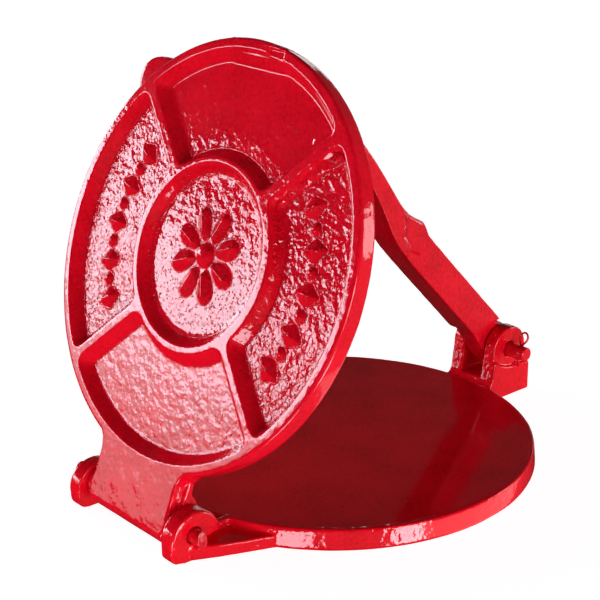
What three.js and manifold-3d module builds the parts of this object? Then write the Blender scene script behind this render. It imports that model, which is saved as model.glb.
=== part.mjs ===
// Tortilla press: two round cast-iron plates on a hinge, and a press lever in a
// clevis opposite the hinge. Every casting, pin and cotter is dipped in one red enamel.
// Millimetres, +Z up. Origin: centre of the base plate's underside, on the surface
// that the press stands on. The plate hinge is on the -Y side, the lever clevis on
// the +Y side. The model stands half open, the lever leaning towards the open plate.
import * as THREE from 'three';
import { mergeVertices } from 'three/addons/utils/BufferGeometryUtils.js';
import Module from 'manifold-3d';

const wasm = await Module();
wasm.setup();

// ---------------------------------------------------------------- dimensions
const BASE_R = 95.2;          // base plate radius at its top edge
const BASE_FOOT_R = 96.0;     // radius at the foot of the drafted rim
const BASE_T = 10;            // base plate overall thickness (rim)
const BASE_WEB = 4.6;         // thickness of the plate itself inside the rim
const TOP_R = 93.2;           // upper plate radius
const TOP_T = 8.7;            // upper plate rim thickness
const TOP_GAP = 0.38;         // gap between the plates when closed
const PANEL_DEPTH = 5.2;      // depth of the panels in the upper plate's outer face
const RING_IN = 39.4;         // inner radius of the ring rib at its top
const RIM_IN = 88.6;          // inner edge of the rim top

const HINGE_Y = -110.9;       // plate hinge axis, parallel to X
const HINGE_Z = 11.1;
const OPEN_DEG = 67.93;       // how far the upper plate stands open
const HINGE_PIN_D = 6.8;
const HINGE_HOLE_D = 7.7;
const EAR_IN = 30.3;          // hinge ears of the base
const EAR_OUT = 37.2;
const EAR_NEAR = { y: -110.1, z: 9.6, ry: 12.6, rz: 11.9 };   // round top of the +X ear: centre and half axes
const EAR_FAR = { y: -110.9, z: 8.2, ry: 12.2, rz: 11.8 };    // the -X ear came out a little lower
const BARREL_R = 7.9;         // barrel at the end of the upper plate's tongue
const BARREL_HALF = 29.4;

const PIVOT_Y = 109.6;        // lever pivot axis, parallel to X
const PIVOT_Z = 27.1;
const LEAN_DEG = 46.6;        // lever angle above the table, leaning to -Y
const LEVER_PIN_D = 7.3;
const LEVER_HOLE_D = 8.2;
const CLEVIS_IN = 6.8;        // clevis ears of the base
const CLEVIS_OUT = 13.5;
const CLEVIS_R = 11.7;
const ARM_HALF = 8.7;         // lever arm half width
const ROOT_HALF = 6.2;        // lever root half width, between the clevis ears
const ROOT_R = 11.0;

const deg = THREE.MathUtils.degToRad;

// ---------------------------------------------------------------- materials
const enamel = (hex, rough) => new THREE.MeshStandardMaterial({ color: hex, roughness: rough, metalness: 0 });

// ---------------------------------------------------------------- helpers
// signed volume of a geometry, to turn a body inside out where needed
function signedVolume(p, idx) {
  let v = 0;
  for (let i = 0; i < idx.length; i += 3) {
    const [a, b, c] = [idx[i] * 3, idx[i + 1] * 3, idx[i + 2] * 3];
    v += p[a] * (p[b + 1] * p[c + 2] - p[b + 2] * p[c + 1])
       - p[a + 1] * (p[b] * p[c + 2] - p[b + 2] * p[c])
       + p[a + 2] * (p[b] * p[c + 1] - p[b + 1] * p[c]);
  }
  return v / 6;
}

// BufferGeometry -> closed manifold solid
function solid(geometry) {
  const g = geometry.clone();
  g.deleteAttribute('normal');
  g.deleteAttribute('uv');
  const m = mergeVertices(g, 1e-4);
  const pos = Float32Array.from(m.attributes.position.array);
  const tri = [];
  const ix = m.index.array;
  for (let i = 0; i < ix.length; i += 3) {
    if (ix[i] !== ix[i + 1] && ix[i + 1] !== ix[i + 2] && ix[i] !== ix[i + 2]) tri.push(ix[i], ix[i + 1], ix[i + 2]);
  }
  if (signedVolume(pos, tri) < 0) for (let i = 0; i < tri.length; i += 3) [tri[i], tri[i + 1]] = [tri[i + 1], tri[i]];
  return new wasm.Manifold(new wasm.Mesh({ numProp: 3, vertProperties: pos, triVerts: Uint32Array.from(tri) }));
}

// manifold solid -> BufferGeometry with flat normals
function toGeometry(man) {
  const m = man.getMesh();
  const n = m.numProp;
  const pos = new Float32Array(m.vertProperties.length / n * 3);
  for (let i = 0; i < pos.length / 3; i++) for (let k = 0; k < 3; k++) pos[i * 3 + k] = m.vertProperties[i * n + k];
  const g = new THREE.BufferGeometry();
  g.setAttribute('position', new THREE.BufferAttribute(pos, 3));
  g.setIndex(new THREE.BufferAttribute(Uint32Array.from(m.triVerts), 1));
  g.computeVertexNormals();
  return g;
}

const join = (...parts) => parts.reduce((a, b) => a.add(b));
const cut = (body, ...tools) => tools.reduce((a, b) => a.subtract(b), body);

function moved(geometry, x = 0, y = 0, z = 0, rx = 0, ry = 0, rz = 0) {
  const o = new THREE.Object3D();
  o.position.set(x, y, z);
  o.rotation.set(rx, ry, rz, 'ZYX');
  o.updateMatrix();
  return geometry.clone().applyMatrix4(o.matrix);
}
const mirrorX = (geometry) => geometry.clone().applyMatrix4(new THREE.Matrix4().makeScale(-1, 1, 1));

// body of revolution about +Z from [r, z] points
function turned(points, segments = 96) {
  const g = new THREE.LatheGeometry(points.map(([r, z]) => new THREE.Vector2(r, z)), segments);
  return g.applyMatrix4(new THREE.Matrix4().makeRotationX(Math.PI / 2));
}
// cylinder along X, centred on (x0..x1, y, z)
function rodX(r, x0, x1, y, z, segments = 28) {
  const g = new THREE.CylinderGeometry(r, r, x1 - x0, segments);
  g.rotateY(Math.PI / segments);
  g.rotateZ(Math.PI / 2);
  g.translate((x0 + x1) / 2, y, z);
  return g;
}
// outline in the YZ plane, extruded along X from x0 to x1
function plateX(shape, x0, x1, bevel = 0, size = bevel, segments = 1, curveSegments = 10) {
  const g = new THREE.ExtrudeGeometry(shape, {
    depth: x1 - x0 - 2 * bevel, bevelEnabled: bevel > 0, bevelThickness: bevel, bevelSize: size,
    bevelOffset: -size, bevelSegments: segments, curveSegments, steps: 1 });
  g.translate(0, 0, x0 + bevel);
  return g.applyMatrix4(new THREE.Matrix4().makeBasis(
    new THREE.Vector3(0, 1, 0), new THREE.Vector3(0, 0, 1), new THREE.Vector3(1, 0, 0)));
}
// outline in the XY plane, extruded along Z from z0 to z1
function plateZ(shape, z0, z1, bevel = 0, size = bevel, segments = 1, curveSegments = 10) {
  const g = new THREE.ExtrudeGeometry(shape, {
    depth: z1 - z0 - 2 * bevel, bevelEnabled: bevel > 0, bevelThickness: bevel, bevelSize: size,
    bevelOffset: -size, bevelSegments: segments, curveSegments, steps: 1 });
  g.translate(0, 0, z0 + bevel);
  return g;
}
const outline = (points) => new THREE.Shape(points.map(([x, y]) => new THREE.Vector2(x, y)));
const box = (x0, x1, y0, y1, z0, z1) =>
  new THREE.BoxGeometry(x1 - x0, y1 - y0, z1 - z0).translate((x0 + x1) / 2, (y0 + y1) / 2, (z0 + z1) / 2);
const arc = (cx, cy, r, a0, a1, n) => Array.from({ length: n + 1 }, (_, i) => {
  const a = deg(a0 + (a1 - a0) * i / n);
  return [cx + r * Math.cos(a), cy + r * Math.sin(a)];
});

// rounds every corner of a polygon: corner radius r, n steps each
function rounded(points, radii, n = 4) {
  const out = [];
  const N = points.length;
  for (let i = 0; i < N; i++) {
    const p = new THREE.Vector2(...points[i]);
    const a = new THREE.Vector2(...points[(i + N - 1) % N]).sub(p);
    const b = new THREE.Vector2(...points[(i + 1) % N]).sub(p);
    const r = Array.isArray(radii) ? radii[i] : radii;
    if (!r) { out.push([p.x, p.y]); continue; }
    const la = a.length(), lb = b.length();
    a.normalize(); b.normalize();
    const half = Math.acos(THREE.MathUtils.clamp(a.dot(b), -1, 1)) / 2;
    const t = Math.min(r / Math.tan(half), la * 0.48, lb * 0.48);
    const s = p.clone().addScaledVector(a, t), e = p.clone().addScaledVector(b, t);
    for (let k = 0; k <= n; k++) {
      const u = k / n;   // quadratic through the corner
      out.push([(1 - u) * (1 - u) * s.x + 2 * u * (1 - u) * p.x + u * u * e.x,
                (1 - u) * (1 - u) * s.y + 2 * u * (1 - u) * p.y + u * u * e.y]);
    }
  }
  return out;
}

// panel between two radii and two spokes; halfA and halfB are the distances of its two
// straight sides from the lines through the centre at mid - 45 and mid + 45 degrees
function panelOutline(r0, r1, mid, halfA, halfB, corner) {
  const edge = (r, side) => {                       // angle where the spoke's side meets radius r
    const a = deg(mid + side * 45);
    return a - side * Math.asin((side < 0 ? halfA : halfB) / r);
  };
  const pts = [];
  const outerA = edge(r1, -1), outerB = edge(r1, 1), innerA = edge(r0, -1), innerB = edge(r0, 1);
  const dOut = corner / r1, dIn = corner / r0;
  const P = (r, a) => [r * Math.cos(a), r * Math.sin(a)];
  const add = (p) => pts.push(p);
  const quad = (s, c, e, n) => { for (let k = 1; k < n; k++) { const u = k / n;
    add([(1 - u) ** 2 * s[0] + 2 * u * (1 - u) * c[0] + u * u * e[0], (1 - u) ** 2 * s[1] + 2 * u * (1 - u) * c[1] + u * u * e[1]]); } };
  const nOut = 36, nIn = 18;
  for (let i = 0; i <= nOut; i++) add(P(r1, outerA + dOut + (outerB - outerA - 2 * dOut) * i / nOut));
  quad(P(r1, outerB - dOut), P(r1, outerB), P(r1 - corner, edge(r1 - corner, 1)), 5);
  add(P(r1 - corner, edge(r1 - corner, 1)));
  add(P(r0 + corner, edge(r0 + corner, 1)));
  quad(P(r0 + corner, edge(r0 + corner, 1)), P(r0, innerB), P(r0, innerB - dIn), 5);
  for (let i = 0; i <= nIn; i++) add(P(r0, innerB - dIn + (innerA - innerB + 2 * dIn) * i / nIn));
  quad(P(r0, innerA + dIn), P(r0, innerA), P(r0 + corner, edge(r0 + corner, -1)), 5);
  add(P(r0 + corner, edge(r0 + corner, -1)));
  add(P(r1 - corner, edge(r1 - corner, -1)));
  quad(P(r1 - corner, edge(r1 - corner, -1)), P(r1, outerA), P(r1, outerA + dOut), 5);
  return pts.map(([x, y]) => new THREE.Vector2(x, y));
}

// closed body through outlines with equal point counts, each at its own height
function loft(levels) {
  const n = levels[0][0].length;
  const pos = [], tri = [];
  for (const [pts, z] of levels) for (const p of pts) pos.push(p.x, p.y, z);
  for (let k = 0; k + 1 < levels.length; k++) for (let i = 0; i < n; i++) {
    const a = k * n + i, b = k * n + (i + 1) % n;
    tri.push(a, b, b + n, a, b + n, a + n);
  }
  const last = (levels.length - 1) * n;
  for (const [a, b, c] of THREE.ShapeUtils.triangulateShape(levels[0][0], [])) tri.push(a, c, b);
  for (const [a, b, c] of THREE.ShapeUtils.triangulateShape(levels[levels.length - 1][0], [])) tri.push(last + a, last + b, last + c);
  if (signedVolume(pos, tri) < 0) for (let i = 0; i < tri.length; i += 3) [tri[i], tri[i + 1]] = [tri[i + 1], tri[i]];
  return new wasm.Manifold(new wasm.Mesh({ numProp: 3, vertProperties: Float32Array.from(pos), triVerts: Uint32Array.from(tri) }));
}

// ---------------------------------------------------------------- base plate
function makeBase() {
  const web = BASE_T - BASE_WEB;
  let body = solid(turned([
    [0, BASE_T], [BASE_R - 0.9, BASE_T], [BASE_R - 0.2, BASE_T - 0.3], [BASE_R + 0.1, BASE_T - 1],
    [BASE_FOOT_R, 1.4], [BASE_FOOT_R - 0.3, 0.4], [BASE_FOOT_R - 1.2, 0],
    [88.6, 0], [87.2, web - 0.8], [86, web], [43.6, web], [42.4, 1.2], [39.4, 1.2], [38.2, web],
    [14.4, web], [13, 0], [0, 0]], 160));
  // underside ribs, hub to rim
  for (const a of [45, 135, 225, 315]) {
    const rib = plateX(outline([[-2.9, web + 1], [-1.8, 1.2], [1.8, 1.2], [2.9, web + 1]]), 8, 90);
    body = body.add(solid(moved(rib, 0, 0, 0, 0, 0, deg(a))));
  }

  // hinge arms: an ear with a rounded top, its back sloping down to the plate, a boss on its outer face
  for (const [side, ear] of [[1, EAR_NEAR], [-1, EAR_FAR]]) {
    const front = ear.y - ear.ry;
    const top = (r, a0, a1, n) => arc(0, 0, 1, a0, a1, n).map(([c, d]) => [ear.y + (ear.ry - r) * c, ear.z + (ear.rz - r) * d]);
    const A = [];
    A.push(plateX(outline([
      ...arc(front + 4.5, 4.5, 4.5, 270, 180, 4), ...top(0, 180, 16, 30), [-96.9, 11.4], [-94.8, 10], [-86, 10], [-86, 0]]),
      EAR_IN, EAR_OUT));
    A.push(plateX(outline(top(0.4, 0, 345, 23)), EAR_OUT - 1, EAR_OUT + 0.8, 0.35));
    // bottom flange: the rim's skirt runs straight out from the disc to the foot of the ear
    A.push(plateZ(outline(rounded([
      [EAR_IN, -118.8], [35.6, -118.8], [39.3, -111.2], [44.0, -101.6], [48.9, -89.9], [53.2, -79.4], [56.2, -73],
      [50, -70], [EAR_IN, -84]], [0, 2, 0, 0, 0, 0, 0, 0, 0], 3)), 0, 6.1, 0.6));
    // pocket in the outer face between the ear's lower edge and the flange
    const pocket = plateX(outline(rounded([
      [-107.8, 6.15], [-106.0, 7.9], [-95.8, 10.05], [-84, 10.05], [-84, 6.1]], [0.8, 1.5, 1, 0, 0], 3)), 33.6, 60);
    const arm = cut(join(...A.map(solid)), solid(pocket), solid(box(20, 60, -130, -60, -20, 0)));
    body = body.add(side > 0 ? arm : solid(mirrorX(toGeometry(arm))));
  }

  // lever clevis: a block at the rim, two ears on it
  body = body.add(solid(plateX(outline([[88, 1.8], [88, 9], [92.6, 9.9], [94.4, 10.5], [96.0, 13.4], [96.5, 16.6], [97.0, 20.8], [97.7, 22.4],
    [99.2, 22.2], [102.2, 20.2], [106.2, 18.6], [111, 17.7], [118, 17.6], [123.2, 17.3], [124, 16.4], [124, 1.8]]),
    -14.4, 14.9, 0.7)));
  const clevisEar = outline([
    ...arc(PIVOT_Y, PIVOT_Z, CLEVIS_R, 0, 180, 32),
    [97.3, 21], [96.9, 15], [96.9, 8], [121.0, 8], [121.1, 15.5], [121.2, 22]]);
  body = join(body, solid(plateX(clevisEar, CLEVIS_IN - 0.6, CLEVIS_OUT, 0.6)), solid(plateX(clevisEar, -CLEVIS_OUT - 0.8, -CLEVIS_IN + 0.6, 0.6)));
  // slot between the ears, holes for both pins
  const slot = plateX(outline(rounded([[88, 60], [93.4, 12.6], [124, 13.0], [130, 13.4], [130, 60]], [0, 1.5, 0, 0, 0], 2)),
    -CLEVIS_IN, CLEVIS_IN);
  body = cut(body, solid(slot),
    solid(rodX(LEVER_HOLE_D / 2, -30, 30, PIVOT_Y, PIVOT_Z, 32)),
    solid(rodX(HINGE_HOLE_D / 2, -60, -EAR_IN + 6, HINGE_Y, HINGE_Z, 32)),
    solid(rodX(HINGE_HOLE_D / 2, EAR_IN - 6, 60, HINGE_Y, HINGE_Z, 32)));
  return toGeometry(body);
}

// ---------------------------------------------------------------- upper plate
// Modelled closed, with its underside at z = 0 and the plate's centre at the origin;
// closed, its centre is over the base plate's.
function makeUpperPlate() {
  const hy = HINGE_Y;                             // hinge axis in this frame
  const hz = HINGE_Z - BASE_T - TOP_GAP;
  let disc = solid(turned([
    [0, 0], [TOP_R - 1, 0], [TOP_R - 0.3, 0.3], [TOP_R, 1], [TOP_R, TOP_T - 1.1], [TOP_R - 0.35, TOP_T - 0.35],
    [TOP_R - 1.1, TOP_T], [0, TOP_T]], 160));

  // tongue to the hinge, its outer face flush with the rim, its sides drafted
  const left = [[-38.6, -83.4], [-34.6, -86.2], [-31.5, -88.4], [-29.3, -91.0], [-28.2, -94.1], [-28.0, -98], [-28.2, -107], [-28.3, hy - 5]];
  const right = left.map(([x, y]) => [-x, y]).reverse();
  const tongue = plateZ(outline([[-20, -70], ...left, ...right, [20, -70]]), -5.2, TOP_T, 6.2, 1.55, 1);
  const tongueBody = cut(solid(tongue),
    solid(box(-60, 60, -140, -60, -20, 0.35)),
    solid(box(-60, 60, -99, -60, -20, 0.2)));
  // rounded end and barrel about the hinge axis
  const barrel = solid(rodX(BARREL_R, -BARREL_HALF, BARREL_HALF, hy, hz, 48));
  const toe = solid(plateX(outline([[hy + 4, TOP_T], [hy - 4.9, TOP_T], [hy - 5.7, 8.35], [hy - 7.2, 7.1], [hy - 8.3, 5.5], [hy - 8.9, 3.6],
    [hy - 8.9, 1.6], [hy - 8.3, -1.0], [hy - 6.4, -4.4], [hy + 4, -4.4]]), -26.7, 26.7, 0.7));
  // underside web that carries the tongue down to the barrel
  const web = solid(plateX(outline([[hy, -7.2], [hy + 4.5, -7.0], [hy + 7.8, -6.2], [-100.4, -4.8], [-98.5, -3.1], [-96.8, -0.7],
    [-95.5, 0.3], [-91, 0.3], [-91, 4], [hy, 4]]), -29.2, 29.2, 0.8, 0.6, 2));
  disc = join(disc, tongueBody, barrel, toe, web);

  // lifting lobe on the rim, between the far end and the side
  disc = disc.add(solid(plateZ(outline([[-70, 50.9], [-73.9, 56.4], [-75.1, 59.4], [-76.1, 62.9], [-76.6, 66.7], [-76.2, 69.9], [-74.8, 72.6],
    [-72.5, 74.8], [-69.6, 76.2], [-66.2, 76.9], [-62.2, 77.2], [-58.0, 77.3], [-53.5, 78.3], [-48, 77], [-40, 60]]), 0.2, 5.2, 1.8, 1.6, 2)));

  // panels, centre recess
  const floor = TOP_T - PANEL_DEPTH;
  const cutters = [];
  for (const [mid, ringOut, halfA, halfB] of [[0, 43.8, 1.2, 1.7], [90, 41.6, 2.8, 3.0], [180, 42.9, 1.9, 1.6], [270, 42.6, 2.3, 2.8]]) {
    const d = 4.5;                                  // the walls' draft
    const top = panelOutline(ringOut, RIM_IN, mid, halfA, halfB, 5.8);
    const foot = panelOutline(ringOut + d, RIM_IN - d, mid, halfA + d, halfB + d, 1.6);
    cutters.push(loft([[foot, floor], [top, TOP_T], [top, TOP_T + 8]]));
  }
  cutters.push(solid(turned([[0, floor + 0.5], [33.4, floor + 0.5], [35.3, floor + 0.85], [36.5, floor + 1.7], [RING_IN, TOP_T],
    [RING_IN, TOP_T + 4], [0, TOP_T + 4]], 120)));
  disc = cut(disc, ...cutters);

  // flat pad against the rim's inside at the far end, with a small filing notch in the rim's top edge
  disc = disc.add(solid(plateX(outline([[92, floor - 1], [92, 7.6], [86.1, 7.2], [83.1, 4.9], [81, floor - 1]]),
    -18.5, 18.5, 1.2)));
  disc = cut(disc, solid(box(8.2, 18.2, 81, 90.5, 7.6, 12)));

  // raised rosette in the centre recess: eight ridged petals round a pointed button
  const r0 = floor + 0.5;
  const ridged = (foot, ridge, z0, z1) => wasm.Manifold.hull([...foot.map(([x, y]) => [x, y, z0]), ...ridge.map(([x, y]) => [x, y, z1])]);
  for (let i = 0; i < 8; i++) {
    const petal = ridged([[5.6, 0], [8.2, 2.7], [12.2, 4.9], [16.6, 5.3], [20.2, 3.4], [21.8, 0], [20.2, -3.4], [16.6, -5.3], [12.2, -4.9], [8.2, -2.7]],
      [[8.6, 0], [18.6, 0]], r0 - 0.3, r0 + 2.7);
    disc = disc.add(petal.rotate([0, 0, 22.5 + 45 * i]));
  }
  disc = disc.add(solid(turned([[0, r0 - 0.5], [5.6, r0 - 0.5], [5.3, r0 + 0.4], [3.2, r0 + 2.3], [0, r0 + 3.1]], 24)));
  // side panels: a plain row of cut lozenges with small pointed studs between them
  const lozenge = ridged(rounded([[8.6, 0], [0, 6.3], [-8.6, 0], [0, -6.3]], 0.8, 2), [[2.2, 0], [-2.2, 0]], floor - 0.3, floor + 2.7);
  const stud = turned([[0, floor - 0.5], [3.1, floor - 0.5], [2.9, floor + 0.3], [1.6, floor + 1.6], [0, floor + 2.1]], 14);
  for (const side of [0, 180]) {
    for (const k of [-2, -1, 0, 1, 2]) {
      const a = side + k * 15.5;
      disc = disc.add(lozenge.rotate([0, 0, a]).translate([65 * Math.cos(deg(a)), 65 * Math.sin(deg(a)), 0]));
      if (k < 2) {
        const b = deg(side + (k + 0.5) * 15.5);
        disc = disc.add(solid(moved(stud, 65 * Math.cos(b), 65 * Math.sin(b), 0)));
      }
    }
  }
  disc = cut(disc, solid(rodX(HINGE_HOLE_D / 2, -60, 60, hy, hz, 32)));
  return toGeometry(disc);
}

// ---------------------------------------------------------------- press lever
// Modelled lying along -Y from its pivot at the origin, top side up.
function makeLever() {
  const P = (list) => list.map(([a, n]) => [-a, n]);
  const top = [[12.6, 9.1], [30, 9.0], [65, 8.8], [84, 8.8], [89.6, 9.0], [92.6, 9.7], [96, 10.9], [98.6, 11.1], [101.4, 10.3],
    [104.6, 9.0], [109, 8.2], [114, 8.1], [120, 8.8], [128, 10.1], [136, 11.35], [144.5, 12.4], [152.7, 13.25], [161, 13.95],
    [170, 14.5], [180, 14.85], [190, 14.9], [200, 14.65], [208, 14.2]];
  const tip = [[214, 13.6], [217.6, 12.3], [219.4, 10.2], [219.2, 8.0], [217.6, 6.5], [214.5, 5.9]];
  const under = [[208, 6.05], [200, 6.5], [190, 6.85], [180, 6.9], [170, 6.6], [161, 6.0], [152.7, 5.15], [143, 3.75], [133.5, 1.75],
    [126, -0.1], [118, -2.5], [112, -4.6], [105.4, -6.3], [97, -7.15], [86, -7.45], [77.5, -7.5], [24, -7.5]];
  const shoulder = [[21.4, -6.3], [19.9, -4.2], [18.6, 0], [16.9, 3.8], [14.2, 6.6]];
  let arm = solid(plateX(outline(P([...top, ...tip, ...under, ...shoulder])), -ARM_HALF, ARM_HALF, 0.6));
  // two drafted facets meet in a low parting ridge along each side of the lower arm
  const tilt = deg(3.6);
  for (const s of [1, -1]) {
    for (const v of [1, -1]) {
      const wedge = box(0, 12, -94, 10, 0, 22);
      const g = moved(v > 0 ? wedge : wedge.clone().applyMatrix4(new THREE.Matrix4().makeScale(1, 1, -1)),
        ARM_HALF, 0, 0.2, 0, -v * tilt, 0);
      arm = arm.subtract(solid(s > 0 ? g : mirrorX(g)));
    }
  }
  // knuckle: wider than the arm and the handle
  const knuckle = plateX(outline(P([[87.4, -1.2], [89.2, 4.5], [90.2, 8.8], [94.4, 10.2], [98.6, 11.0], [103.4, 9.6], [108.4, 8.2],
    [112.6, 7.4], [108.2, 2.6], [103.2, -2.2], [96, -4.4]])), -ARM_HALF - 1.1, ARM_HALF + 1.1, 1.6, 2.0, 2);
  // root: an eye between the clevis ears, its front edges broken
  const root = plateX(outline(P([[26, 7.6], [12, 8.3], ...arc(0, 0, ROOT_R, 75, 275, 32).map(([y, z]) => [y, z]), [12, -9.0], [20, -7.9], [26, -7.0]])),
    -ROOT_HALF, ROOT_HALF, 3.0, 1.2, 1);
  let lever = join(arm, solid(knuckle), solid(root));
  lever = lever.subtract(solid(rodX(LEVER_HOLE_D / 2, -20, 20, 0, 0, 32)));
  return toGeometry(lever);
}

// ---------------------------------------------------------------- pins and cotters
const CROSS_D = 2.9;          // cross hole for a cotter
const HINGE_COTTER_X = 41.8;  // hinge cotter, on the hidden end of the pin
const HINGE_FAR_END = 46;
function makeHingePin() {
  const L = 44.6;
  let pin = solid(rodX(HINGE_PIN_D / 2, -HINGE_FAR_END, L, 0, 0, 32));
  // near end: sheared off at a slant, its edge broken
  pin = pin.subtract(solid(moved(box(0, 12, -12, 12, -12, 12), L - 1.1, 0, 0, 0, deg(-24), deg(14))));
  // far end: the cross hole, turned so that the cotter's eye lies behind the far ear
  pin = pin.subtract(solid(new THREE.CylinderGeometry(CROSS_D / 2, CROSS_D / 2, 20, 16).rotateX(Math.PI / 2 + deg(-80)).translate(-HINGE_COTTER_X, 0, 0)));
  return toGeometry(pin);
}
function makeLeverPin() {
  let pin = solid(turned([[0, -17.8], [5.6, -17.8], [6.1, -17.4], [6.1, -15.1], [5.7, -14.65], [LEVER_PIN_D / 2, -14.65],
    [LEVER_PIN_D / 2, 24.4], [LEVER_PIN_D / 2 - 0.6, 25.0], [0, 25.0]], 32).applyMatrix4(new THREE.Matrix4().makeRotationY(Math.PI / 2)));
  pin = pin.subtract(solid(new THREE.CylinderGeometry(CROSS_D / 2, CROSS_D / 2, 20, 16).rotateX(Math.PI / 2).translate(20.2, 0, 0)));
  return toGeometry(pin);
}
// cotter: one wire, up through the cross hole, round an eye and down again, its legs spread
function makeCotter(pinR, leg) {
  const w = 0.62;                                       // half distance between the two legs
  const pts = [
    [-w - 0.5 * leg, -pinR - leg], [-w - 0.15 * leg, -pinR - 0.55 * leg], [-w, -pinR - 0.4], [-w, 0], [-w, pinR + 0.3], [-w - 0.5, pinR + 1.3],
    [-2.2, pinR + 3.0], [-2.35, pinR + 4.7], [-1.35, pinR + 6.2], [0, pinR + 6.75],
    [1.35, pinR + 6.2], [2.35, pinR + 4.7], [2.2, pinR + 3.0], [w + 0.5, pinR + 1.3], [w, pinR + 0.3], [w, 0], [w, -pinR - 0.4],
    [w + 0.15 * leg, -pinR - 0.55 * leg], [w + 0.5 * leg, -pinR - leg]];
  const curve = new THREE.CatmullRomCurve3(pts.map(([x, z]) => new THREE.Vector3(x, 0, z)), false, 'centripetal');
  const r = 0.56;
  const section = outline(arc(0, 0, r, 0, 360 - 360 / 8, 7));
  const wire = new THREE.ExtrudeGeometry(section, { steps: 44, bevelEnabled: false, extrudePath: curve });
  return toGeometry(solid(wire));
}

// ---------------------------------------------------------------- assembly
const press = new THREE.Group();
const add = (parent, geometry, name, colour, rough = 0.22) => {
  const m = new THREE.Mesh(geometry, enamel(colour, rough));
  m.name = name;
  parent.add(m);
  return m;
};

add(press, makeBase(), 'base_plate', 0xa8101c);

const hinge = new THREE.Group();                        // upper plate turns here
hinge.position.set(0, HINGE_Y, HINGE_Z);
hinge.rotation.x = deg(OPEN_DEG);
press.add(hinge);
const upper = add(hinge, makeUpperPlate(), 'upper_plate', 0xc81420);
upper.position.set(0, -HINGE_Y, BASE_T + TOP_GAP - HINGE_Z);

const pivot = new THREE.Group();                        // press lever turns here
pivot.position.set(0, PIVOT_Y, PIVOT_Z);
pivot.rotation.x = deg(-LEAN_DEG);
press.add(pivot);
add(pivot, makeLever(), 'press_lever', 0xc81420);

const hingePin = add(press, makeHingePin(), 'hinge_pin', 0xb41220);
hingePin.position.set(0, HINGE_Y, HINGE_Z);
hingePin.rotation.x = deg(-14);
const hingeCotter = add(press, makeCotter(HINGE_PIN_D / 2, 1.7), 'hinge_cotter_pin', 0xb41220);
hingeCotter.position.set(-HINGE_COTTER_X, HINGE_Y, HINGE_Z);
hingeCotter.rotation.x = deg(-94);

const leverPin = add(press, makeLeverPin(), 'lever_pin', 0xb41220);
leverPin.position.set(0, PIVOT_Y, PIVOT_Z);
leverPin.rotation.x = deg(-23);
const leverCotter = add(press, makeCotter(LEVER_PIN_D / 2, 3.2), 'lever_cotter_pin', 0xb41220);
leverCotter.position.set(20.2, PIVOT_Y, PIVOT_Z);
leverCotter.rotation.x = deg(-23);

export default press;
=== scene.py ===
# Tortilla press: the looks. Metres, in the CAD frame. Every piece is re-surfaced as
# metal under a thick dipped enamel: rounded edges, long waves, ripples and small pits.
import math

import bpy
import numpy as np
from mathutils import Matrix, Vector


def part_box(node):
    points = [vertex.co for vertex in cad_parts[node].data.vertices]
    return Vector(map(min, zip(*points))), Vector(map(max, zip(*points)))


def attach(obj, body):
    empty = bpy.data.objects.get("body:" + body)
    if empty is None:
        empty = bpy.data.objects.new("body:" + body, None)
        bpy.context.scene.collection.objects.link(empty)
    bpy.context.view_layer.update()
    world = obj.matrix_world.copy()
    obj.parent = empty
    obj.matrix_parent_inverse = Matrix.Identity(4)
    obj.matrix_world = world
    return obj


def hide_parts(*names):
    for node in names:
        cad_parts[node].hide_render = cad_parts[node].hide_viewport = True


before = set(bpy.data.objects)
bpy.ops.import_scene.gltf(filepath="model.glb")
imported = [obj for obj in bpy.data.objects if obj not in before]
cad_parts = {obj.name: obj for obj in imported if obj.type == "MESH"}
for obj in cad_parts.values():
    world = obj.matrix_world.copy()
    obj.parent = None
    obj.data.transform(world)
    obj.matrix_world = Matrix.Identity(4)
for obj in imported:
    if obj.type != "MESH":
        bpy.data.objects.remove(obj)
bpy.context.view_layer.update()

# ---------------------------------------------------------------- dimensions, mm
HINGE_Y, HINGE_Z, OPEN = -110.9, 11.1, math.radians(67.93)
TOP_GAP, BASE_T, TOP_T = 0.38, 10.0, 8.7
TOP_R, RIM_IN, RING_OUT, RING_IN, PANEL_DEPTH = 93.2, 88.6, 42.7, 39.4, 5.2
PIVOT_Y, PIVOT_Z, LEAN = 109.6, 27.1, math.radians(46.6)
BASE_R = 95.2


# ---------------------------------------------------------------- small helpers
def coords(mesh):
    co = np.empty(len(mesh.vertices) * 3, np.float32)
    mesh.vertices.foreach_get("co", co)
    return co.reshape(-1, 3).astype(float)


def set_coords(mesh, co):
    mesh.vertices.foreach_set("co", np.asarray(co, np.float32).ravel())
    mesh.update()


def normals(mesh):
    n = np.empty(len(mesh.vertices) * 3, np.float32)
    mesh.vertex_normals.foreach_get("vector", n)
    return n.reshape(-1, 3).astype(float)


def closed_frame(co):
    """World mm -> the upper plate's own frame: plate centre at the origin, underside at z = 0, hinge at -Y."""
    y, z = co[:, 1] - HINGE_Y, co[:, 2] - HINGE_Z
    c, s = math.cos(OPEN), math.sin(OPEN)
    return np.stack([co[:, 0], y * c + z * s + HINGE_Y,
                     z * c - y * s + HINGE_Z - BASE_T - TOP_GAP], 1)


def lever_frame(co):
    """World mm -> (x, distance from the pivot along the arm, height towards its top side)."""
    y, z = co[:, 1] - PIVOT_Y, co[:, 2] - PIVOT_Z
    c, s = math.cos(LEAN), math.sin(LEAN)
    return np.stack([co[:, 0], -y * c + z * s, y * s + z * c], 1)


def smoothstep(a, b, x):
    t = np.clip((x - a) / (b - a), 0, 1)
    return t * t * (3 - 2 * t)


_perm = np.random.RandomState(11).permutation(256)
_perm = np.concatenate([_perm, _perm])
_grad = np.random.RandomState(5).normal(size=(256, 3))
_grad /= np.linalg.norm(_grad, axis=1)[:, None]


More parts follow.
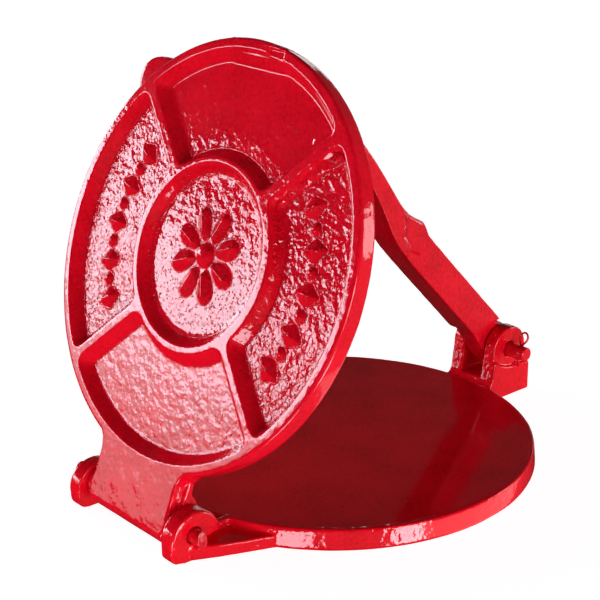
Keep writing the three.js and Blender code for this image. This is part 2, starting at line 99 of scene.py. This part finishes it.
def perlin(p):
    """Gradient noise of an (n, 3) array, about -1..1."""
    i = np.floor(p).astype(int)
    f = p - i
    i &= 255
    u = f * f * f * (f * (f * 6 - 15) + 10)

    def corner(dx, dy, dz):
        h = _perm[_perm[_perm[(i[:, 0] + dx) & 255] + ((i[:, 1] + dy) & 255)] + ((i[:, 2] + dz) & 255)]
        return np.einsum("ij,ij->i", _grad[h], f - [dx, dy, dz])

    def mix(a, b, t):
        return a + (b - a) * t
    x00 = mix(corner(0, 0, 0), corner(1, 0, 0), u[:, 0])
    x10 = mix(corner(0, 1, 0), corner(1, 1, 0), u[:, 0])
    x01 = mix(corner(0, 0, 1), corner(1, 0, 1), u[:, 0])
    x11 = mix(corner(0, 1, 1), corner(1, 1, 1), u[:, 0])
    return mix(mix(x00, x10, u[:, 1]), mix(x01, x11, u[:, 1]), u[:, 2]) * 1.5


# ---------------------------------------------------------------- pieces
def smoothed(mesh, rounds, plain=1):
    """Vertex places after shrink-free smoothing: each round is a step in and a step back out."""
    co = coords(mesh)
    n = len(co)
    e = np.empty(len(mesh.edges) * 2, np.int32)
    mesh.edges.foreach_get("vertices", e)
    e = e.reshape(-1, 2)
    a, b = e[:, 0], e[:, 1]
    count = np.maximum(np.bincount(e.ravel(), minlength=n), 1)

    def step(co, f):
        mean = np.stack([np.bincount(a, co[b, k], n) + np.bincount(b, co[a, k], n) for k in range(3)], 1) / count[:, None]
        return co + f * (mean - co)
    for _ in range(plain):
        co = step(co, 0.5)
    for _ in range(rounds):
        co = step(step(co, 0.5), -0.53)
    return co


def taken(ob):
    """The object with its modifiers applied and removed."""
    dg = bpy.context.evaluated_depsgraph_get()
    new = bpy.data.meshes.new_from_object(ob.evaluated_get(dg))
    ob.modifiers.clear()
    old = ob.data
    name = old.name
    ob.data = new
    bpy.data.meshes.remove(old)
    new.name = name
    return new


def piece(node, name, body, voxel, rounds, relief, faces, marks=None, plain=1):
    """A copy of a CAD solid with its edges rounded as casting and thick enamel leave them."""
    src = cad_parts[node]
    mesh = src.data.copy()
    mesh.name = name
    ob = bpy.data.objects.new(name, mesh)
    bpy.context.scene.collection.objects.link(ob)
    mesh.materials.clear()
    for o in bpy.context.selected_objects:
        o.select_set(False)
    bpy.context.view_layer.objects.active = ob
    ob.select_set(True)
    weld = ob.modifiers.new("weld", "WELD")
    weld.merge_threshold = 1e-6
    rm = ob.modifiers.new("remesh", "REMESH")
    rm.mode = "VOXEL"
    rm.voxel_size = voxel / 1000
    rm.use_smooth_shade = True
    new = taken(ob)
    lo, hi = (np.array(v) * 1000 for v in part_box(node))
    set_coords(new, smoothed(new, rounds, plain))
    co = coords(new) * 1000
    if relief:
        n = normals(new)
        co = co + n * relief(co, n)[:, None]
    set_coords(new, np.clip(co, lo, hi) / 1000)
    count = len(new.polygons) * 2
    if count > faces:
        d = ob.modifiers.new("thin", "DECIMATE")
        d.ratio = faces / count
        new = taken(ob)
        set_coords(new, np.clip(coords(new), lo / 1000, hi / 1000))
    if marks:
        co = coords(new) * 1000
        n = normals(new)
        for key, value in marks(co, n).items():
            layer = new.attributes.new(key, "FLOAT", "POINT")
            layer.data.foreach_set("value", np.asarray(value, np.float32))
    for p in new.polygons:
        p.use_smooth = True
    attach(ob, body)
    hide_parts(node)
    return ob


def upper_places(co):
    """Where on the upper plate a point lies."""
    q = closed_frame(co)
    r = np.hypot(q[:, 0], q[:, 1])
    a = np.degrees(np.arctan2(q[:, 1], q[:, 0]))
    front = smoothstep(1.5, 2.6, q[:, 2])
    low = 1 - smoothstep(TOP_T - 3.2, TOP_T - 1.6, q[:, 2])
    centre = (1 - smoothstep(RING_IN - 3.0, RING_IN - 1, r)) * front
    ringed = smoothstep(RING_OUT, RING_OUT + 2, r) * (1 - smoothstep(RIM_IN - 4, RIM_IN - 2, r)) * low * front

    def wedge(mid):
        return 1 - smoothstep(42.5, 45, np.abs((a - mid + 180) % 360 - 180))
    return q, r, a, centre, ringed, wedge, front


def relief_upper(co, n):
    q = closed_frame(co)
    side = smoothstep(0.5, 0.9, np.abs(n[:, 0]))
    rim = smoothstep(91, 93, np.hypot(q[:, 0], q[:, 1]))
    return 0.035 * perlin(q / 9.0) + 0.012 * perlin(q / 4.2 + 7) + side * 0.05 * perlin(q / 12.0 + 3) + rim * 0.06 * perlin(q / 6.0 + 5)


def marks_upper(co, n):
    q, r, a, centre, ringed, wedge, front = upper_places(co)
    top = ringed * wedge(90)
    foot = ringed * wedge(-90)
    right = ringed * wedge(0)
    left = ringed * wedge(180)
    near_ring = top * (1 - smoothstep(45, 60, r))
    flat = smoothstep(0.90, 0.97, n @ [0, -math.sin(OPEN), math.cos(OPEN)])
    ripple = 0.85 * right + 0.85 * left + 0.28 * foot
    ripple = 0.30 + flat * (ripple + (0.32 + 0.75 * smoothstep(2, 24, q[:, 1])) * centre + 0.7 * near_ring)
    tongue = smoothstep(88.5, 92, -q[:, 1])
    ripple = (ripple - 0.08 * tongue) * (0.35 + 0.65 * front)
    pits = 0.30 + 1.25 * centre + 1.2 * right + 0.8 * left - 0.1 * foot - 0.1 * top
    # the sunk floors do not lie quite true: their upper parts lean back by up to two degrees
    t = np.clip((q[:, 1] + 35) / 40, 0, None)
    lean = -(0.42 * 40 * np.where(t < 1, t * t / 2, t - 0.5)) * right - 0.007 * np.clip(q[:, 1], 0, None) ** 2 * centre
    return {"ripple": ripple, "pits": np.clip(pits + 0.4 * near_ring, 0, 1.7), "lean": lean}


def relief_base(co, n):
    r = np.hypot(co[:, 0], co[:, 1])
    top = smoothstep(9.3, 9.8, co[:, 2]) * (1 - smoothstep(93.0, 94.6, r)) * smoothstep(0.7, 0.95, n[:, 2])
    rim = smoothstep(93.5, 95.0, r) * (1 - smoothstep(97, 98, r))
    h = (1 - top) * (0.035 * perlin(co / 8.0 + 2) + 0.014 * perlin(co / 4.0 + 5)) + top * 0.02 * perlin(co / 30.0)
    return h + rim * 0.11 * perlin(co * [1 / 15, 1 / 15, 1 / 7] + 1)


def marks_base(co, n):
    r = np.hypot(co[:, 0], co[:, 1])
    top = smoothstep(9.3, 9.8, co[:, 2]) * (1 - smoothstep(92.5, 94.5, r)) * smoothstep(0.7, 0.95, n[:, 2])
    clevis = smoothstep(97, 101, co[:, 1])
    return {"ripple": 0.85 - 0.65 * top - 0.5 * clevis, "pits": 0.18 - 0.12 * top, "lean": 0 * top}


def relief_lever(co, n):
    q = lever_frame(co)
    return 0.07 * perlin(q / 10.0 + 4) + 0.03 * perlin(q / 4.4 + 8)


def marks_even(co, n):
    return {"ripple": np.full(len(co), 1.1), "pits": np.full(len(co), 0.15), "lean": np.zeros(len(co))}


def marks_pin(co, n):
    return {"ripple": np.full(len(co), 0.6), "pits": np.full(len(co), 0.2), "lean": np.zeros(len(co))}


# ---------------------------------------------------------------- materials
def nodes_of(mat):
    mat.use_nodes = True
    nt = mat.node_tree
    nt.nodes.clear()
    return nt, nt.nodes, nt.links


def ramp(nt, fac, stops, interp="LINEAR"):
    r = nt.nodes.new("ShaderNodeValToRGB")
    r.color_ramp.interpolation = interp
    el = r.color_ramp.elements
    while len(el) > 1:
        el.remove(el[-1])
    el[0].position, el[0].color = stops[0][0], (*stops[0][1], 1)
    for pos, col in stops[1:]:
        e = el.new(pos)
        e.color = (*col, 1)
    nt.links.new(fac, r.inputs["Fac"])
    return r.outputs["Color"]


def tex_noise(nt, vec, scale, detail=2.0, rough=0.5, distortion=0.0):
    t = nt.nodes.new("ShaderNodeTexNoise")
    t.inputs["Scale"].default_value = scale
    t.inputs["Detail"].default_value = detail
    t.inputs["Roughness"].default_value = rough
    t.inputs["Distortion"].default_value = distortion
    nt.links.new(vec, t.inputs["Vector"])
    return t.outputs["Fac"]


def math_node(nt, op, a, b=None, c=None, clamp=False):
    m = nt.nodes.new("ShaderNodeMath")
    m.operation = op
    m.use_clamp = clamp
    for i, v in enumerate([a, b, c]):
        if v is None:
            continue
        if isinstance(v, (int, float)):
            m.inputs[i].default_value = v
        else:
            nt.links.new(v, m.inputs[i])
    return m.outputs[0]


def attribute(nt, name):
    t = nt.nodes.new("ShaderNodeAttribute")
    t.attribute_type = "GEOMETRY"
    t.attribute_name = name
    return t.outputs["Fac"]


def enamel(name, base, deep, rough, shift):
    """Dipped enamel on cast iron: the colour a little uneven, ripples, orange peel, small pits whose colour is darkened
    as painted shade.
    The mesh says per place how strong the ripples are and how many pits there are."""
    mat = bpy.data.materials.new(name)
    nt, nodes, links = nodes_of(mat)
    out = nodes.new("ShaderNodeOutputMaterial")
    b = nodes.new("ShaderNodeBsdfPrincipled")
    links.new(b.outputs["BSDF"], out.inputs["Surface"])
    tc = nodes.new("ShaderNodeTexCoord")
    mp = nodes.new("ShaderNodeMapping")
    mp.inputs["Location"].default_value = (shift, 0.7 * shift, -0.4 * shift)
    links.new(tc.outputs["Object"], mp.inputs["Vector"])
    v = mp.outputs["Vector"]
    ripple, much = attribute(nt, "ripple"), attribute(nt, "pits")

    # colour: clouds of thinner and thicker enamel, and painted shade that darkens the colour in the pits
    cloud = math_node(nt, "MULTIPLY_ADD", tex_noise(nt, v, 42, 4, 0.6), 0.38, 0.11)
    cloud = math_node(nt, "MULTIPLY_ADD", tex_noise(nt, v, 620, 2, 0.6), 0.4, cloud)
    colour = ramp(nt, cloud, [(0.36, tuple(c * 0.82 for c in deep)), (0.52, base), (0.66, tuple(min(1, c * 1.10) for c in base))])
    cells = nodes.new("ShaderNodeTexVoronoi")
    cells.inputs["Scale"].default_value = 640
    links.new(v, cells.inputs["Vector"])
    where = tex_noise(nt, v, 150, 2, 0.6)
    # pit radius, in cells: none where the noise is low, up to 0.28 (0.44 mm) where it is high
    size = math_node(nt, "MULTIPLY", math_node(nt, "SUBTRACT", where, 0.38), math_node(nt, "MULTIPLY", much, 2.2))
    size = math_node(nt, "MINIMUM", size, 0.28)
    depth = math_node(nt, "MAXIMUM", math_node(nt, "SUBTRACT", size, cells.outputs["Distance"]), 0.0)
    shade = math_node(nt, "MULTIPLY", depth, 14.0, clamp=True)
    # painted shade: inside each pit the base colour is mixed towards a darker red
    pit_shade_mix = nodes.new("ShaderNodeMix")
    pit_shade_mix.data_type = "RGBA"
    links.new(shade, pit_shade_mix.inputs["Factor"])
    links.new(colour, pit_shade_mix.inputs["A"])
    pit_shade_mix.inputs["B"].default_value = (*[c * 0.5 for c in deep], 1)
    links.new(pit_shade_mix.outputs["Result"], b.inputs["Base Color"])
    b.inputs["Metallic"].default_value = 0.0
    b.inputs["IOR"].default_value = 1.5
    fine = tex_noise(nt, v, 300, 3, 0.6)
    matt = math_node(nt, "MULTIPLY_ADD", fine, 0.06, rough - 0.03)
    links.new(math_node(nt, "MULTIPLY_ADD", shade, 0.4, matt), b.inputs["Roughness"])

    # heights in units of 0.1 mm: swells of 4 mm, ripples of 2 mm, a finer peel, the pits
    wave = tex_noise(nt, v, 430, 1, 0.5)
    peel = tex_noise(nt, v, 950, 2, 0.5)
    swell = tex_noise(nt, v, 250, 1, 0.5)
    h = math_node(nt, "MULTIPLY_ADD", peel, 0.60, math_node(nt, "MULTIPLY", wave, 1.9))
    h = math_node(nt, "MULTIPLY_ADD", swell, 3.2, h)
    h = math_node(nt, "MULTIPLY", h, ripple)
    h = math_node(nt, "ADD", math_node(nt, "MULTIPLY_ADD", depth, -8.0, h), attribute(nt, "lean"))
    bump = nodes.new("ShaderNodeBump")
    bump.inputs["Strength"].default_value = 1.0
    bump.inputs["Distance"].default_value = 0.0001
    links.new(h, bump.inputs["Height"])
    links.new(bump.outputs["Normal"], b.inputs["Normal"])
    return mat


RED, DEEP = (0.80, 0.0035, 0.018), (0.70, 0.0015, 0.010)
mat_upper = enamel("enamel_upper", RED, DEEP, 0.065, 0.0)
mat_lever = enamel("enamel_lever", RED, DEEP, 0.10, 0.31)
mat_base = enamel("enamel_base", (0.78, 0.003, 0.014), (0.70, 0.0015, 0.009), 0.075, 0.57)
mat_pin = enamel("enamel_pin", (0.76, 0.004, 0.016), (0.62, 0.002, 0.010), 0.12, 0.83)

VOX = 0.46
upper = piece("upper_plate", "upper_plate_cast", "upper", VOX, 4, relief_upper, 195000, marks_upper)
upper.data.materials.append(mat_upper)
base = piece("base_plate", "base_plate_cast", "base", VOX, 4, relief_base, 195000, marks_base)
base.data.materials.append(mat_base)
lever = piece("press_lever", "press_lever_cast", "lever", 0.45, 4, relief_lever, 120000, marks_even, 2)
lever.data.materials.append(mat_lever)
pins = []
for n, voxel, faces in (("hinge_pin", 0.3, 30000), ("lever_pin", 0.3, 30000), ("hinge_cotter_pin", 0.15, 16000), ("lever_cotter_pin", 0.15, 16000)):
    o = piece(n, n + "_dipped", "base", voxel, 4, None, faces, marks_pin)
    o.data.materials.append(mat_pin)
    pins.append(o)

# ---------------------------------------------------------------- floor, light, camera
def smooth_range(nt, value, lo, hi):
    r = nt.nodes.new("ShaderNodeMapRange")
    r.interpolation_type = "SMOOTHSTEP"
    r.inputs["From Min"].default_value = lo
    r.inputs["From Max"].default_value = hi
    nt.links.new(value, r.inputs["Value"])
    return r.outputs["Result"]


def dot_node(nt, vec, direction):
    d = nt.nodes.new("ShaderNodeVectorMath")
    d.operation = "DOT_PRODUCT"
    nt.links.new(vec, d.inputs[0])
    d.inputs[1].default_value = direction
    return d.outputs["Value"]


def paper():
    """The pale sheet that the press stands on, so bright that only a trace of the contact shadow shows."""
    mat = bpy.data.materials.new("floor_paper")
    nt, nodes, links = nodes_of(mat)
    out = nodes.new("ShaderNodeOutputMaterial")
    d = nodes.new("ShaderNodeBsdfDiffuse")
    d.inputs["Color"].default_value = (0.55, 0.55, 0.55, 1)
    e = nodes.new("ShaderNodeEmission")
    e.inputs["Strength"].default_value = 0.95
    both = nodes.new("ShaderNodeAddShader")
    links.new(d.outputs[0], both.inputs[0])
    links.new(e.outputs[0], both.inputs[1])
    links.new(both.outputs[0], out.inputs["Surface"])
    return mat


fm = bpy.data.meshes.new("floor")
S, N = 6.0, 64
fm.from_pydata([(S * math.cos(2 * math.pi * i / N), S * math.sin(2 * math.pi * i / N), -0.0002) for i in range(N)], [], [tuple(range(N))])
floor = bpy.data.objects.new("floor", fm)
bpy.context.scene.collection.objects.link(floor)
fm.materials.append(paper())
# the sheet neither lights the press nor shows in its enamel: below the horizon the press sees the dim room
floor.visible_diffuse = floor.visible_glossy = floor.visible_transmission = floor.visible_shadow = False


def softbox(name, az, el, radiance, colour=(1, 1, 1), distance=4.0, target=(0, -0.06, 0.10), lights=True, shows=True, onto=None):
    """A soft box that fills az and el, two ranges in degrees as the target sees it. radiance is how bright it looks."""
    a, e = (math.radians(sum(v) / 2) for v in (az, el))
    d = Vector((math.cos(a) * math.cos(e), math.sin(a) * math.cos(e), math.sin(e)))
    width = 2 * distance * math.tan(math.radians(az[1] - az[0]) / 2)
    height = 2 * distance * math.tan(math.radians(el[1] - el[0]) / 2)
    light = bpy.data.lights.new(name, "AREA")
    light.shape = "RECTANGLE"
    light.size, light.size_y = width, height
    light.energy = radiance * width * height * math.pi
    light.color = colour
    ob = bpy.data.objects.new(name, light)
    right = Vector((-math.sin(a), math.cos(a), 0))
    m = Matrix((right, d.cross(right), d)).transposed().to_4x4()
    m.translation = Vector(target) + d * distance
    ob.matrix_world = m
    ob.visible_diffuse, ob.visible_glossy = lights, shows
    if onto:
        ob.light_linking.receiver_collection = onto
    bpy.context.scene.collection.objects.link(ob)
    return ob


def card(name, centre, size, radiance, shows=True):
    """A white card lying beside the press, out of the camera's sight, that throws light up at it."""
    light = bpy.data.lights.new(name, "AREA")
    light.shape = "RECTANGLE"
    light.size, light.size_y = size
    light.energy = radiance * size[0] * size[1] * math.pi
    ob = bpy.data.objects.new(name, light)
    ob.location = (*centre, 0.0)
    ob.rotation_euler = (math.pi, 0, 0)
    ob.visible_camera, ob.visible_glossy = False, shows
    bpy.context.scene.collection.objects.link(ob)
    return ob


# the low fills are kept off the lever, so that its underside stays dark; it has a fill of its own
plates, arm = bpy.data.collections.new("plates"), bpy.data.collections.new("arm")
for o in [upper, base] + pins:
    plates.objects.link(o)
arm.objects.link(lever)
softbox("window_left_foot", (-178, -132), (-2.0, 2.0), 1.9)
softbox("window_left_middle", (-178, -132), (2.0, 5.5), 3.6, (1.0, 1.0, 1.06))
softbox("window_left_top", (-178, -132), (5.5, 12.3), 10.3, (0.95, 1.0, 1.15))
softbox("window_right_a", (-66, -50), (-2.0, 10.0), 5.0, shows=False, onto=plates)
softbox("window_right_b", (-11, 9), (-11.0, 10.0), 10.5)
softbox("window_right_c", (49, 67), (-2.0, 13.0), 4.8)
softbox("window_back", (100, 165), (0.0, 11.0), 1.2)
softbox("fill_front", (-135, -62), (-22.0, 4.0), 1.55, shows=False, onto=plates)
softbox("fill_right", (-62, -10), (-25.0, -5.0), 4.0, shows=False, onto=plates)
softbox("fill_lever", (0, 40), (-20.0, 5.0), 1.6, shows=False, onto=arm)
softbox("fill_far", (20, 80), (-22.0, 0.0), 1.9, shows=False)
# two patches of light close beside the base plate, seen only in its rim
softbox("patch_rim_a", (-74, -51), (-31.0, -10.0), 9.0, (0.95, 1.0, 1.12), distance=0.2, target=(0.060, -0.074, 0.005), lights=False)
softbox("patch_rim_b", (-12, 8), (-31.0, -10.0), 12.0, (0.95, 1.0, 1.12), distance=0.2, target=(0.088, -0.035, 0.005), lights=False)
card("card_front", (0.02, -0.165), (0.22, 0.07), 0.8, shows=False)
card("card_right", (0.125, 0.03), (0.06, 0.13), 0.9)
card("card_clevis", (0.06, 0.165), (0.10, 0.09), 0.8, shows=False)

world = bpy.data.worlds.new("studio")
bpy.context.scene.world = world
world.use_nodes = True
nt = world.node_tree
nt.nodes.clear()
wo = nt.nodes.new("ShaderNodeOutputWorld")
bg = nt.nodes.new("ShaderNodeBackground")
bg.inputs["Color"].default_value = (1, 1, 1, 1)
seen = nt.nodes.new("ShaderNodeLightPath")
tc = nt.nodes.new("ShaderNodeTexCoord")
way = tc.outputs["Generated"]
over = math_node(nt, "MULTIPLY_ADD", smooth_range(nt, dot_node(nt, way, (0, 1, 0)), -0.35, 0.35), 0.04, 0.01)
over = math_node(nt, "MULTIPLY", over, math_node(nt, "MULTIPLY_ADD", smooth_range(nt, dot_node(nt, way, (0, 0, 1)), 0.5, 0.75), -0.8, 1.0))
under = math_node(nt, "MULTIPLY_ADD", smooth_range(nt, dot_node(nt, way, (0.85, 0.3, 0)), -0.1, 0.8), 0.17, 0.02)
share = smooth_range(nt, dot_node(nt, way, (0, 0, 1)), -0.04, 0.0)
room = math_node(nt, "ADD", math_node(nt, "MULTIPLY", over, share), math_node(nt, "MULTIPLY", under, math_node(nt, "SUBTRACT", 1.0, share)))
k = math_node(nt, "MAXIMUM", room, seen.outputs["Is Camera Ray"])
nt.links.new(k, bg.inputs["Strength"])
nt.links.new(bg.outputs["Background"], wo.inputs["Surface"])

cam_data = bpy.data.cameras.new("camera")
cam_data.sensor_width = 36.0
cam_data.lens = 92.575
cam_data.clip_start, cam_data.clip_end = 0.05, 50
cam = bpy.data.objects.new("camera", cam_data)
right = Vector((0.65620, 0.75456, -0.00589))
up = Vector((-0.25980, 0.23325, 0.93707))
back = right.cross(up).normalized()
up = back.cross(right).normalized()
m = Matrix((right.normalized(), up, back)).transposed().to_4x4()
m.translation = Vector((0.49333, -0.44669, 0.32503))
cam.matrix_world = m
bpy.context.scene.collection.objects.link(cam)
bpy.context.scene.camera = cam
bpy.context.scene.view_settings.view_transform = "Standard"
bpy.context.scene.view_settings.look = "None"
